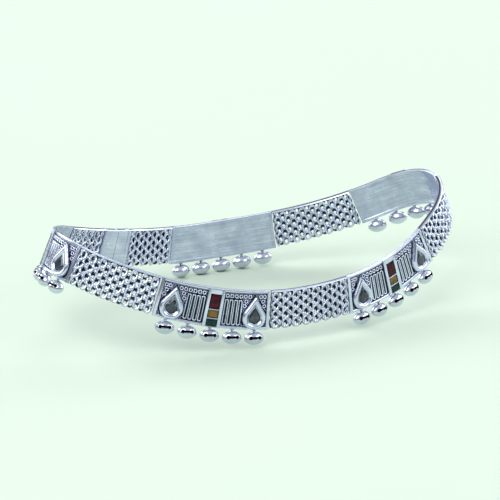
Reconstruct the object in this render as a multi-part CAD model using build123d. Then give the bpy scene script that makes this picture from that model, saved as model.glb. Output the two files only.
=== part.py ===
from build123d import *
from math import acos, asin, atan2, ceil, cos, pi, radians, sin, sqrt
import os

# A payal anklet: one closed loop of silver mesh and curved panels, as it lies round an ankle.
# +Z is up, -X points to the toes, +X to the heel and -Y to the inner side of the foot.
# Distances on the band itself are "along" it, "up" it and "out" of it.  All sizes are in millimetres.

# --- Driving dimensions -------------------------------------------------------------------------
LOOP_LENGTH = 111.0        # instep to Achilles tendon, seen from above
LOOP_WIDTH = 59.0          # across the ankle
INSTEP_RADIUS = 19.5
HEEL_RADIUS = 19.0
WIDEST_X = -4.0            # where the loop is widest
LOWEST_X = 1.0             # the band sags lowest here, under the ankle bone
LOWEST_Z = -7.5
INSTEP_RISE = 14.6         # from the lowest point up to the instep
HEEL_RISE = 14.8           # from the lowest point up to the Achilles tendon
INSTEP_BOW = 1.05          # 1 is an even curve, more rises early, less rises late
HEEL_BOW = 0.3
SIDE_LEAN = 1.5            # degrees that the band's foot stands out from its head
INSTEP_LEAN = 23.5
HEEL_LEAN = 18.0

BAND_HEIGHT = 10.5
MESH_BACK = -0.70
MESH_FRONT = 0.80
SLAB_EDGE = 0.35           # cut corner of the mesh and of the clasp
SECTION_STEP = 5.0         # the most between two cross-sections of a loft
SEAM = 0.12                # gap between neighbours along the band
FIT = 0.05                 # gap round a set stone or an enamel tile

PANEL_COUNT = 5
PANEL_LENGTH = 30.0
PANEL_PITCH = 53.2
FIRST_PANEL = -6.2         # centre of panel 1, along the band from the instep
WEB_BACK = -0.45
RAIL_FRONT = 0.55
RAIL_HEIGHT = 0.80
RAIL_EDGE = 0.15           # chamfer on a rail
ROOT = -0.28               # raised work is sunk this far into the web
END_BAR_WIDTH = 0.80

PEAR_OFFSET = 10.8         # from the panel's middle to each pear
PEAR_UP = -1.9             # centre of a pear's round end
PEAR_POINT = 1.9           # round centre to tip, in radii
BEZEL_RADIUS = 3.10
# distance out of the band, share of the bezel's radius
BEZEL_DOME = [(ROOT, 1.0), (0.75, 1.0), (1.20, 0.90), (1.40, 0.76)]
STONE_RADIUS = 1.85
STONE_SEAT = 0.20
STONE_ROUND_SIDES = 9
# distance out of the seat, share of the stone's radius: back, girdle, girdle, table
STONE_CUT = [(FIT, 0.70), (0.35, 1.0), (0.55, 1.0), (1.05, 0.55)]

COLUMN_WIDTH = 4.5
COLUMN_FRONT = 0.85
TILE_WIDTH = 2.8
TILE_SEAT = 0.20
TILE_FRONT = 0.78
TILE_EDGE = 0.12
# node, top edge up the band, height
TILES = [
    ("enamel_red", 3.65, 3.90),
    ("enamel_gold", -0.60, 2.05),
    ("enamel_green", -3.00, 1.95),
]

LOOP_FIRST = 3.15          # first raised loop, from the panel's middle
LOOP_PITCH = 1.25
LOOP_COUNT = 4
LOOP_OUTER = 1.10
LOOP_INNER = 0.52
LOOP_TALL = 6.40
LOOP_UP = -1.10
LOOP_FRONT = 0.42
RING_UP = 3.35
RING_OUTER = 1.15
RING_INNER = 0.50
PEAR_SIDE_RINGS = [8.15, 9.40, 12.40, 13.45]

BELL_COUNT = 5
BELL_PITCH = 5.7
BELL_LENGTH = 5.2
BELL_HEIGHT = 3.5
BELL_END_RADIUS = 1.15
BELL_WALL = 0.40
BELL_GAP = 0.59            # from the band's foot to the bell's crown
BELL_OUT = 0.05
SLIT_LENGTH = 2.3
SLIT_HEIGHT = 0.45
SLIT_END_RADIUS = 0.42
SLIT_TURN = 18.0           # degrees that the slit faces up from straight out
BELL_PLUMB = 0.5           # how far a bell turns from square to the band towards hanging plumb
EYE_RADIUS = 0.40          # eyelet under the rail
EYE_DROP = 0.03
BAIL_RADIUS = 0.36         # the bell's own loop
BAIL_SINK = 0.07
WIRE_RADIUS = 0.11

CLASP_LENGTH = 10.0
CLASP_BACK = -0.95
CLASP_FRONT = 1.35

WALK_STEPS = 2880          # fineness of the walk that measures the loop's true length
WIDEST_ARC = 1000.0        # more than the side arcs' radius, where the search for it starts
HALVINGS = 60              # of that search


# --- The loop -----------------------------------------------------------------------------------
instep_centre = -LOOP_LENGTH / 2 + INSTEP_RADIUS
heel_centre = LOOP_LENGTH / 2 - HEEL_RADIUS


def side_radius():
    """Radius of the flat side arc that is tangent to both end arcs, found by halving."""
    low, high = LOOP_WIDTH / 2, WIDEST_ARC
    for _ in range(HALVINGS):
        radius = (low + high) / 2
        drop = radius - LOOP_WIDTH / 2
        reach_instep = WIDEST_X - sqrt(max((radius - INSTEP_RADIUS) ** 2 - drop ** 2, 0))
        reach_heel = WIDEST_X + sqrt(max((radius - HEEL_RADIUS) ** 2 - drop ** 2, 0))
        if reach_heel - reach_instep < heel_centre - instep_centre:
            low = radius
        else:
            high = radius
    return radius


SIDE_RADIUS = side_radius()
side_drop = SIDE_RADIUS - LOOP_WIDTH / 2
side_centre = instep_centre + sqrt((SIDE_RADIUS - INSTEP_RADIUS) ** 2 - side_drop ** 2)
instep_turn = acos((side_centre - instep_centre) / (SIDE_RADIUS - INSTEP_RADIUS))
heel_turn = acos((heel_centre - side_centre) / (SIDE_RADIUS - HEEL_RADIUS))
instep_arc = INSTEP_RADIUS * instep_turn
side_arc = SIDE_RADIUS * (pi - instep_turn - heel_turn)
half_plan = instep_arc + side_arc + HEEL_RADIUS * heel_turn


def plan(distance):
    """Point and heading on the loop seen from above, walked from the instep, inner side first."""
    outer_side = distance > half_plan
    if outer_side:
        distance = 2 * half_plan - distance
    if distance < instep_arc:
        turn = pi + distance / INSTEP_RADIUS
        x, y = instep_centre + INSTEP_RADIUS * cos(turn), INSTEP_RADIUS * sin(turn)
    elif distance < instep_arc + side_arc:
        turn = pi + instep_turn + (distance - instep_arc) / SIDE_RADIUS
        x, y = side_centre + SIDE_RADIUS * cos(turn), side_drop + SIDE_RADIUS * sin(turn)
    else:
        turn = 2 * pi - (half_plan - distance) / HEEL_RADIUS
        x, y = heel_centre + HEEL_RADIUS * cos(turn), HEEL_RADIUS * sin(turn)
    heading = (-sin(turn), cos(turn))
    if outer_side:
        return (x, -y), (-heading[0], heading[1])
    return (x, y), heading


def toward_end(x):
    """Share of the way from the lowest point to the end of the loop on x's side, and that end's span."""
    span = LOOP_LENGTH / 2 + LOWEST_X if x < LOWEST_X else LOOP_LENGTH / 2 - LOWEST_X
    return abs(x - LOWEST_X) / span, span


def height(x):
    """Height of the band's middle, and its slope along x."""
    share, span = toward_end(x)
    rise, bow = (INSTEP_RISE, INSTEP_BOW) if x < LOWEST_X else (HEEL_RISE, HEEL_BOW)
    z = LOWEST_Z + rise * share ** 2 * (bow + (1 - bow) * share)
    slope = rise * share * (2 * bow + 3 * (1 - bow) * share) / span
    return z, -slope if x < LOWEST_X else slope


def lean(x):
    """How far the band's foot leans outwards, in radians."""
    share, _ = toward_end(x)
    end_lean = INSTEP_LEAN if x < LOWEST_X else HEEL_LEAN
    return radians(SIDE_LEAN + (end_lean - SIDE_LEAN) * share ** 3)


def walk():
    """The true length of the loop from the instep to each step of the walk."""
    lengths, last = [0.0], None
    for step in range(WALK_STEPS + 1):
        (x, y), _ = plan(2 * half_plan * step / WALK_STEPS)
        here = Vector(x, y, height(x)[0])
        if last is not None:
            lengths.append(lengths[-1] + (here - last).length)
        last = here
    return lengths


walked = walk()
PERIMETER = walked[-1]


def plan_distance(along):
    """Turns a true length along the band into the distance seen from above."""
    along = along % PERIMETER
    low, high = 0, WALK_STEPS
    while high - low > 1:
        middle = (low + high) // 2
        if walked[middle] <= along:
            low = middle
        else:
            high = middle
    share = (along - walked[low]) / (walked[high] - walked[low])
    return 2 * half_plan * (low + share) / WALK_STEPS


def directions(along):
    """The band's middle at a length along it, with its along, up and out directions."""
    (x, y), heading = plan(plan_distance(along))
    z, slope = height(x)
    forward = Vector(heading[0], heading[1], slope * heading[0]).normalized()
    outward = forward.cross(Vector(0, 0, 1)).normalized()
    upright = outward.cross(forward).normalized()
    tilt = lean(x)
    up = upright * cos(tilt) - outward * sin(tilt)
    out = outward * cos(tilt) + upright * sin(tilt)
    return Vector(x, y, z), forward, up, out


def on_band(along, up=0.0, out=0.0):
    """A plane lying on the band: its x runs along the band, its y up and its z out."""
    middle, forward, up_way, out_way = directions(along)
    return Plane(origin=middle + up_way * up + out_way * out, x_dir=forward, z_dir=out_way)


def across_band(along):
    """A plane cutting across the band: its x runs up and its y out."""
    middle, forward, up_way, _ = directions(along)
    return Plane(origin=middle, x_dir=up_way, z_dir=forward)


def run(start, end, outline):
    """Lofts a cross-section, given as up and out distances, along the band from start to end."""
    steps = ceil((end - start) / SECTION_STEP)
    face = make_face(Polyline(*outline, close=True))
    return loft([across_band(start + (end - start) * i / steps) * face for i in range(steps + 1)])


# --- Panels -------------------------------------------------------------------------------------
def panel_outline():
    """Cross-section of the web with a rail along its head and its foot."""
    top, foot = BAND_HEIGHT / 2, -BAND_HEIGHT / 2
    return [
        (top, WEB_BACK),
        (top, RAIL_FRONT - RAIL_EDGE),
        (top - RAIL_EDGE, RAIL_FRONT),
        (top - RAIL_HEIGHT + RAIL_EDGE, RAIL_FRONT),
        (top - RAIL_HEIGHT, RAIL_FRONT - RAIL_EDGE),
        (top - RAIL_HEIGHT, 0),
        (foot + RAIL_HEIGHT, 0),
        (foot + RAIL_HEIGHT, RAIL_FRONT - RAIL_EDGE),
        (foot + RAIL_HEIGHT - RAIL_EDGE, RAIL_FRONT),
        (foot + RAIL_EDGE, RAIL_FRONT),
        (foot, RAIL_FRONT - RAIL_EDGE),
        (foot, WEB_BACK),
    ]


def pear_face(radius):
    """A pear outline, point up, about the centre of its round end."""
    tip_angle = asin(1 / PEAR_POINT)
    tip = (0, radius * PEAR_POINT)
    side = (radius * cos(tip_angle), radius * sin(tip_angle))
    other = (-side[0], side[1])
    edges = [Line(tip, other), ThreePointArc(other, (0, -radius), side), Line(side, tip)]
    return make_face(edges)


def pear_polygon(radius):
    """The pear outline with its round end in flats, for a cut stone."""
    tip_angle = asin(1 / PEAR_POINT)
    points = [(0, radius * PEAR_POINT)]
    for i in range(STONE_ROUND_SIDES + 1):
        turn = pi - tip_angle + (pi + 2 * tip_angle) * i / STONE_ROUND_SIDES
        points.append((radius * cos(turn), radius * sin(turn)))
    return make_face(Polyline(*points, close=True))


def level(out):
    return Pos(0, 0, out)


def bezel():
    """A domed pear frame with a pocket for its stone."""
    outlines = [level(out) * pear_face(BEZEL_RADIUS * share) for out, share in BEZEL_DOME]
    pocket = extrude(level(STONE_SEAT) * pear_face(STONE_RADIUS + FIT), BEZEL_DOME[-1][0])
    return loft(outlines, ruled=True) - pocket


def stone():
    """A pear-cut stone: flat back, girdle, crown facets and a table."""
    outlines = [level(STONE_SEAT + out) * pear_polygon(STONE_RADIUS * share) for out, share in STONE_CUT]
    return loft(outlines, ruled=True)


def block(width, tall, back, front):
    """A block centred along and up, reaching from back to front."""
    return Pos(0, 0, (back + front) / 2) * Box(width, tall, front - back)


def enamel_frame():
    """The block that frames the three enamel tiles, still without their pockets."""
    frame = block(COLUMN_WIDTH, BAND_HEIGHT - 2 * FIT, ROOT, COLUMN_FRONT)
    return chamfer(frame.faces().sort_by(Axis.Z)[-1].edges(), RAIL_EDGE)


def tile_pockets(centre):
    """The three pockets of a panel's enamel frame."""
    pockets = []
    for _, top, tall in TILES:
        pocket = block(TILE_WIDTH + 2 * FIT, tall + 2 * FIT, TILE_SEAT, 2 * COLUMN_FRONT)
        pockets.append(on_band(centre, top - tall / 2) * pocket)
    return pockets


def tile(tall):
    """An enamel tile with softened upper edges."""
    body = block(TILE_WIDTH, tall, TILE_SEAT + FIT, TILE_FRONT)
    return chamfer(body.faces().sort_by(Axis.Z)[-1].edges(), TILE_EDGE)


def raised_loop():
    """A tall wire loop standing on the web."""
    face = SlotOverall(LOOP_TALL, LOOP_OUTER, rotation=90)
    face -= SlotOverall(LOOP_TALL - LOOP_OUTER + LOOP_INNER, LOOP_INNER, rotation=90)
    return extrude(level(ROOT) * face, LOOP_FRONT - ROOT)


def raised_ring():
    """A small round ring above the tall loops."""
    face = Circle(RING_OUTER / 2) - Circle(RING_INNER / 2)
    return extrude(level(ROOT) * face, LOOP_FRONT - ROOT)


def eyelet():
    """The wire eye under the lower rail that a bell hangs from."""
    return Torus(EYE_RADIUS, WIRE_RADIUS)


def bell_offsets():
    return [(i - (BELL_COUNT - 1) / 2) * BELL_PITCH for i in range(BELL_COUNT)]


def panel(centre):
    """One soldered panel: web, rails, end bars, bezels, enamel frame, raised work and eyelets."""
    half = PANEL_LENGTH / 2
    foot = -BAND_HEIGHT / 2
    body = run(centre - half, centre + half, panel_outline())
    end_bar = block(END_BAR_WIDTH, BAND_HEIGHT - RAIL_HEIGHT, ROOT, RAIL_FRONT)
    pear_frame, tall_loop, small_ring, eye = bezel(), raised_loop(), raised_ring(), eyelet()
    added = [on_band(centre) * enamel_frame()]
    ring_offsets = [LOOP_FIRST + LOOP_PITCH * i for i in range(LOOP_COUNT)]
    for side in (-1, 1):
        added.append(on_band(centre + side * (half - END_BAR_WIDTH / 2 - FIT)) * end_bar)
        added.append(on_band(centre + side * PEAR_OFFSET, PEAR_UP) * pear_frame)
        for offset in ring_offsets:
            added.append(on_band(centre + side * offset, LOOP_UP) * tall_loop)
        for offset in ring_offsets + PEAR_SIDE_RINGS:
            added.append(on_band(centre + side * offset, RING_UP) * small_ring)
    for offset in bell_offsets():
        added.append(on_band(centre + offset, foot - EYE_DROP, BELL_OUT) * eye)
    return body.fuse(*added).cut(*tile_pockets(centre))


# --- Bells --------------------------------------------------------------------------------------
def hung_from(along):
    """A plane through the middle of the bell that hangs from the eyelet at a length along the band."""
    middle, _, up_way, out_way = directions(along)
    plumb = (Vector(0, 0, 1) - out_way * out_way.Z).normalized()
    hang = (up_way * (1 - BELL_PLUMB) + plumb * BELL_PLUMB).normalized()
    eye = middle - up_way * (BAND_HEIGHT / 2 + EYE_DROP) + out_way * BELL_OUT
    origin = eye - hang * (BELL_GAP - EYE_DROP + BELL_HEIGHT / 2)
    return Plane(origin=origin, x_dir=hang.cross(out_way), z_dir=out_way)


def bell_curve(inset):
    """The upper half of the bell's outline, inset by a wall: a wide crown arc between two end arcs."""
    end_x = BELL_LENGTH / 2 - BELL_END_RADIUS
    step = BELL_HEIGHT / 2 - BELL_END_RADIUS
    depth = (end_x ** 2 - step ** 2) / (2 * step)
    crown_radius = BELL_HEIGHT / 2 + depth - inset
    end_radius = BELL_END_RADIUS - inset
    turn = atan2(depth, end_x)
    joint = (end_x + end_radius * cos(turn), end_radius * sin(turn))
    middle = (end_x + end_radius * cos(turn / 2), end_radius * sin(turn / 2))
    top = (0, crown_radius - depth)
    return [
        ThreePointArc((end_x + end_radius, 0), middle, joint),
        ThreePointArc(joint, top, (-joint[0], joint[1])),
        ThreePointArc((-joint[0], joint[1]), (-middle[0], middle[1]), (-end_x - end_radius, 0)),
    ]


def bell():
    """A hollow oval ghungroo bell with a slit in its front and a wire bail on its crown."""
    tall = BELL_HEIGHT / 2
    wall = make_face(bell_curve(0) + [
        Line((BELL_LENGTH / 2, 0), (BELL_LENGTH / 2 - BELL_WALL, 0)),
        Line((-BELL_LENGTH / 2, 0), (BELL_WALL - BELL_LENGTH / 2, 0)),
    ] + bell_curve(BELL_WALL))
    shell = revolve(wall, Axis.X, 360)
    slit = Rectangle(SLIT_LENGTH, SLIT_HEIGHT)
    for side in (-1, 1):
        slit += Pos(side * SLIT_LENGTH / 2, 0) * Circle(SLIT_END_RADIUS)
    shell -= Rot(-SLIT_TURN, 0, 0) * extrude(slit, tall + 1)
    bail = Pos(0, tall + BAIL_SINK, 0) * Rot(0, 90, 0) * Torus(BAIL_RADIUS, WIRE_RADIUS)
    return shell.fuse(bail)


# --- Mesh and clasp -----------------------------------------------------------------------------
def slab_outline(tall, back, front, edge):
    """A plain cross-section with cut corners."""
    half = tall / 2
    return [
        (half, back + edge),
        (half, front - edge),
        (half - edge, front),
        (edge - half, front),
        (-half, front - edge),
        (-half, back + edge),
        (edge - half, back),
        (half - edge, back),
    ]


def mesh_band(start, end):
    return run(start, end, slab_outline(BAND_HEIGHT, MESH_BACK, MESH_FRONT, SLAB_EDGE))


def clasp(centre):
    half = CLASP_LENGTH / 2
    outline = slab_outline(BAND_HEIGHT, CLASP_BACK, CLASP_FRONT, SLAB_EDGE)
    return run(centre - half, centre + half, outline)


# --- Assembly -----------------------------------------------------------------------------------
def write(shape, node):
    export_step(shape, f"parts/{node}.step")
    print(f"{node:16s} {len(shape.solids())} solid(s) {shape.volume:9.2f} mm3")


def main():
    os.makedirs("parts", exist_ok=True)
    half = PANEL_LENGTH / 2
    centres = [FIRST_PANEL + PANEL_PITCH * i for i in range(PANEL_COUNT)]
    clasp_centre = (centres[-1] + centres[0] + PERIMETER) / 2
    print(f"perimeter {PERIMETER:.1f} mm, clasp at {clasp_centre:.1f} mm, side radius {SIDE_RADIUS:.1f} mm")

    for number, centre in enumerate(centres, 1):
        write(panel(centre), f"panel_{number}")

    ends = [(centre + half, following - half) for centre, following in zip(centres, centres[1:])]
    ends.append((centres[-1] + half, clasp_centre - CLASP_LENGTH / 2))
    ends.append((clasp_centre + CLASP_LENGTH / 2, centres[0] + PERIMETER - half))
    for number, (start, end) in enumerate(ends, 1):
        write(mesh_band(start + SEAM, end - SEAM), f"mesh_band_{number}")
    write(clasp(clasp_centre), "clasp")

    pear = stone()
    for number, centre in enumerate(centres, 1):
        for side, name in ((-1, "a"), (1, "b")):
            write(on_band(centre + side * PEAR_OFFSET, PEAR_UP) * pear, f"pear_stone_{number}{name}")

    for node, top, tall in TILES:
        made = tile(tall)
        write(Compound([on_band(centre, top - tall / 2) * made for centre in centres]), node)

    hung = bell()
    for number, centre in enumerate(centres, 1):
        for place, offset in enumerate(bell_offsets(), 1):
            write(hung_from(centre + offset) * hung, f"bell_{number}_{place}")


main()
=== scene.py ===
from bisect import bisect_right
from functools import partialmethod
from itertools import accumulate
from math import acos, asin, atan2, ceil, copysign, cos, pi, radians, sin, sqrt, tan

import bmesh
import bpy
from mathutils import Matrix, Quaternion, Vector


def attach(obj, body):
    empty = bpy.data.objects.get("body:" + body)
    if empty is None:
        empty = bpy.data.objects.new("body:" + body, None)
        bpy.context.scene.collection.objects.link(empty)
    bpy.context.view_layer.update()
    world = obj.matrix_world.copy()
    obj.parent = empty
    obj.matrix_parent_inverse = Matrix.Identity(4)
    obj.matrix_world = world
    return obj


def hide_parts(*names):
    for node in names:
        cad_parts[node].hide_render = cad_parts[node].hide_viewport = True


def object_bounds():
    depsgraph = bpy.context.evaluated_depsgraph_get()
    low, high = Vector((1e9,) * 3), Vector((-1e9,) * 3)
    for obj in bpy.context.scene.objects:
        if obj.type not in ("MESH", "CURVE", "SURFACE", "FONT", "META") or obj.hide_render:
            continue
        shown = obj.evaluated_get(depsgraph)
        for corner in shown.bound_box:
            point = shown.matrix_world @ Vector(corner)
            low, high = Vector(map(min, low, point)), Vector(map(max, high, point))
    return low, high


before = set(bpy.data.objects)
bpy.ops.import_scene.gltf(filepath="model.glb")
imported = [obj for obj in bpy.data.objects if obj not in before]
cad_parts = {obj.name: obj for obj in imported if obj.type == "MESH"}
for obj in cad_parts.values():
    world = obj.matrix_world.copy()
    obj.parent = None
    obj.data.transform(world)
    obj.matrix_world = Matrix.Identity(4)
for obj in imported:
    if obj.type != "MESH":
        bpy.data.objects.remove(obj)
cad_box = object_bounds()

# A silver payal anklet.  Its pieces are modelled flat, x along the band, y up it and z out of it,
# and then laid on the loop that the band takes round an ankle.  All sizes are in metres.

# --- The loop's driving dimensions ---
MM = 0.001
LOOP_LENGTH = 111.0 * MM
LOOP_WIDTH = 59.0 * MM
INSTEP_RADIUS = 19.5 * MM
HEEL_RADIUS = 19.0 * MM
LOWEST_X = 1.0 * MM
LOWEST_Z = -7.5 * MM
INSTEP_RISE = 14.6 * MM
HEEL_RISE = 14.8 * MM
INSTEP_BOW = 1.05
HEEL_BOW = 0.3
SIDE_LEAN = 1.5
INSTEP_LEAN = 23.5
HEEL_LEAN = 18.0
WALK_STEPS = 2880
GUIDE_STEPS = 1440
ALMOST_ALL = 1 - 1e-9
HALVINGS = 60

# --- The band's driving dimensions ---
BAND_HEIGHT = 10.5 * MM
PANEL_COUNT = 5
PANEL_LENGTH = 30.0 * MM
PANEL_PITCH = 53.2 * MM
FIRST_PANEL = -6.2 * MM
SEAM = 0.12 * MM
FIT = 0.05 * MM
WEB_BACK = -0.45 * MM
RAIL_FRONT = 0.55 * MM
RAIL_HEIGHT = 0.80 * MM
END_BAR_WIDTH = 0.80 * MM
ROOT = -0.28 * MM

PEAR_OFFSET = 10.8 * MM
PEAR_UP = -1.9 * MM
PEAR_POINT = 1.9
BEZEL_RADIUS = 3.10 * MM
BEZEL_FRONT = 1.40 * MM
STONE_RADIUS = 1.85 * MM
STONE_SEAT = 0.20 * MM
STONE_RISE = 1.05 * MM

COLUMN_WIDTH = 4.5 * MM
COLUMN_FRONT = 0.85 * MM
TILE_WIDTH = 2.8 * MM
TILE_SEAT = 0.20 * MM
TILE_FRONT = 0.78 * MM
# node and slot, top edge up the band, height
TILES = [
    ("enamel_red", 3.65 * MM, 3.90 * MM),
    ("enamel_gold", -0.60 * MM, 2.05 * MM),
    ("enamel_green", -3.00 * MM, 1.95 * MM),
]

LOOP_FIRST = 3.15 * MM
LOOP_PITCH = 1.25 * MM
LOOP_COUNT = 4
LOOP_WIDE = 1.20 * MM
LOOP_TALL = 7.00 * MM
LOOP_UP = -0.80 * MM
LOOP_WIRE = 0.19 * MM
RING_UP = 3.55 * MM
RING_WIDE = 1.20 * MM
RING_WIRE = 0.18 * MM
WIRE_TALL = 1.25
WIRE_OUT = 0.19 * MM
PEAR_SIDE_RINGS = (8.15 * MM, 9.40 * MM, 12.40 * MM, 13.45 * MM)
# from the panel's middle, up the band
SHOULDER_RINGS = [(8.45 * MM, 2.30 * MM), (13.10 * MM, 2.30 * MM), (8.10 * MM, 1.05 * MM), (13.47 * MM, 1.05 * MM)]
GRAIN_RADIUS = 0.20 * MM
GRAIN_PITCH = 0.46 * MM

BELL_COUNT = 5
BELL_PITCH = 5.7 * MM
BELL_OFFSETS = [(i - (BELL_COUNT - 1) / 2) * BELL_PITCH for i in range(BELL_COUNT)]
BELL_LENGTH = 5.2 * MM
BELL_HEIGHT = 3.5 * MM
BELL_END_RADIUS = 1.15 * MM
BELL_WALL = 0.40 * MM
BELL_GAP = 0.59 * MM
BELL_OUT = 0.05 * MM
BELL_PLUMB = 0.5
SLIT_LENGTH = 2.4 * MM
SLIT_HEIGHT = 0.56 * MM
SLIT_END_RADIUS = 0.50 * MM
SLIT_TURN = 18.0
EYE_RADIUS = 0.40 * MM
EYE_DROP = 0.03 * MM
BAIL_RADIUS = 0.36 * MM
BAIL_SINK = 0.07 * MM
WIRE_RADIUS = 0.11 * MM

CLASP_LENGTH = 10.0 * MM
CLASP_BACK = -0.95 * MM
CLASP_FRONT = 1.35 * MM
CLASP_EDGE = 0.35 * MM

# The woven mesh, and the sizes that its tree takes
LINK_PITCH = 2.77 * MM
LINKS_OUT = 0.05 * MM
WEAVE = {
    "rows": 7, "row_pitch": 1.20 * MM, "up": -0.13 * MM, "out": LINKS_OUT, "layer_gap": 0.76 * MM,
    "across": 0.80 * MM, "tall": 1.10 * MM, "wire": 0.35 * MM, "flatness": 0.62, "wave": 0.15 * MM,
}
LINK_LOOSE = (0.05, 0.05, 0.06)
STRIP_TALL = 0.32 * MM
STRIP_DEEP = 0.72 * MM

# --- Roundings and fineness ---
CORNER_STEPS = 4
BACK_EDGE = 0.12 * MM
RAIL_ROUND = 0.33 * MM
BAR_EDGE = 0.08 * MM
BAR_EDGE_STEPS = 3
COLUMN_CUTS = range(-2, 3)
DOME_INNER = 1.78 * MM
DOME_SHOULDER = 0.70 * MM
DOME_SWEEP = 151.0
DOME_STEPS = 8
LIP_INNER = 1.60 * MM
LIP_WIDTH = 0.14 * MM
LIP_OUT = 1.12 * MM
LIP_EDGE = 0.05 * MM
GROOVE_OUT = 1.00 * MM
LIP_UNDERSIDE = 0.80 * MM
PEAR_ARC_STEPS = 30
PEAR_SIDE_STEPS = 6
WIRE_TURNS = 20
WIRE_SIDES = 8
LEVEL_SHARE = 0.1
GRAIN_SIDES = 8
GRAIN_RINGS = 5
LINK_TURNS = 16
LINK_SIDES = 5
STRIP_SIDES = 14
BELL_END_STEPS = 4
BELL_CROWN_STEPS = 12
BELL_SIDES = 28
BELL_SHARP = 50.0
BAIL_TURNS = 18
SLIT_STEPS = 14
SLIT_SOFTENED = 0.04 * MM
STONE_FACETS = 8
STONE_BACK = 0.70
STONE_WAIST = 0.35 * MM
STONE_GIRDLE = 0.48 * MM
# share of the outline, and how far out of its seat
STONE_SHOULDER = (0.84, 0.80 * MM)
STONE_TABLE = 0.56
PILLOW_STEPS = 14
PILLOW_CROWDING = 0.6
PILLOW_CORNER = 10
PILLOW_DOME = 0.22
PILLOW_SHARP = 60.0
# share of the half length, and how far the clasp is drawn in there
CLASP_RIBS = [
    (0.40, 0.14 * MM), (0.74, 0.14 * MM), (0.76, 0.05 * MM), (0.80, 0.0), (0.94, 0.0), (0.98, 0.06 * MM),
    (1.00, 0.20 * MM),
]
CLASP_SEAM = [(-0.06, 0.14 * MM), (-0.04, 0.26 * MM), (0.0, 0.26 * MM), (0.02, 0.14 * MM)]


# --- The loop ---
instep_centre = -LOOP_LENGTH / 2 + INSTEP_RADIUS
heel_centre = LOOP_LENGTH / 2 - HEEL_RADIUS


def side_radius():
    """Radius of the side arc that is tangent to both end arcs, found by halving."""
    low, high = LOOP_WIDTH / 2, 1.0
    for _ in range(HALVINGS):
        radius = (low + high) / 2
        drop = radius - LOOP_WIDTH / 2
        reach = sum(sqrt(max((radius - end) ** 2 - drop ** 2, 0)) for end in (INSTEP_RADIUS, HEEL_RADIUS))
        if reach < heel_centre - instep_centre:
            low = radius
        else:
            high = radius
    return radius


SIDE_RADIUS = side_radius()
side_drop = SIDE_RADIUS - LOOP_WIDTH / 2
side_centre = instep_centre + sqrt((SIDE_RADIUS - INSTEP_RADIUS) ** 2 - side_drop ** 2)
instep_turn = acos((side_centre - instep_centre) / (SIDE_RADIUS - INSTEP_RADIUS))
heel_turn = acos((heel_centre - side_centre) / (SIDE_RADIUS - HEEL_RADIUS))
# centre, radius and sweep of each arc of the inner side, from the instep
ARCS = [
    (instep_centre, 0.0, INSTEP_RADIUS, instep_turn),
    (side_centre, side_drop, SIDE_RADIUS, pi - instep_turn - heel_turn),
    (heel_centre, 0.0, HEEL_RADIUS, heel_turn),
]
half_plan = sum(radius * sweep for _, _, radius, sweep in ARCS)


def plan(distance):
    """Point and heading on the loop seen from above, walked from the instep, inner side first."""
    side = 1 if distance <= half_plan else -1
    left, turn = min(distance, 2 * half_plan - distance), pi
    for x, y, radius, sweep in ARCS:
        turn += min(left / radius, sweep)
        left -= radius * sweep
        if left < 0:
            break
    return x + radius * cos(turn), side * (y + radius * sin(turn)), -side * sin(turn), cos(turn)


def side_view(x):
    """Height of the band's middle, its slope along x, and how far its foot leans outwards."""
    if x < LOWEST_X:
        way, rise, bow, end_lean = -1, INSTEP_RISE, INSTEP_BOW, INSTEP_LEAN
    else:
        way, rise, bow, end_lean = 1, HEEL_RISE, HEEL_BOW, HEEL_LEAN
    span = LOOP_LENGTH / 2 - way * LOWEST_X
    share = abs(x - LOWEST_X) / span
    z = LOWEST_Z + rise * share ** 2 * (bow + (1 - bow) * share)
    slope = way * rise * share * (2 * bow + 3 * (1 - bow) * share) / span
    return z, slope, radians(SIDE_LEAN + (end_lean - SIDE_LEAN) * share ** 3)


def band_place(step):
    """The band's middle at a step of the walk round the plan, with its up and out directions."""
    x, y, along_x, along_y = plan(2 * half_plan * step / WALK_STEPS)
    z, slope, tilt = side_view(x)
    forward = Vector((along_x, along_y, slope * along_x)).normalized()
    outward = forward.cross(Vector((0, 0, 1))).normalized()
    upright = outward.cross(forward).normalized()
    up = upright * cos(tilt) - outward * sin(tilt)
    out = outward * cos(tilt) + upright * sin(tilt)
    return Vector((x, y, z)), up, out


# the loop's true length up to each step of the walk
path = [band_place(step)[0] for step in range(WALK_STEPS + 1)]
walked = [0.0, *accumulate((here - last).length for last, here in zip(path, path[1:]))]
PERIMETER = walked[-1]


def link_to_scene(name, data):
    thing = bpy.data.objects.new(name, data)
    bpy.context.scene.collection.objects.link(thing)
    return thing


def band_guide():
    """A chain of points round the loop that carries the band's directions."""
    places = []
    for i in range(GUIDE_STEPS + 1):
        along = PERIMETER * min(i / GUIDE_STEPS, ALMOST_ALL)
        step = bisect_right(walked, along) - 1
        places.append(band_place(step + (along - walked[step]) / (walked[step + 1] - walked[step])))
    points, *ways = zip(*places)
    mesh = bpy.data.meshes.new("band_guide")
    mesh.from_pydata(points, [(i, i + 1) for i in range(GUIDE_STEPS)], [])
    for name, vectors in zip(("band_up", "band_out"), ways):
        attribute = mesh.attributes.new(name, "FLOAT_VECTOR", "POINT")
        attribute.data.foreach_set("vector", [value for vector in vectors for value in vector])
    thing = link_to_scene("band_guide", mesh)
    thing.hide_render = True
    return thing


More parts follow.
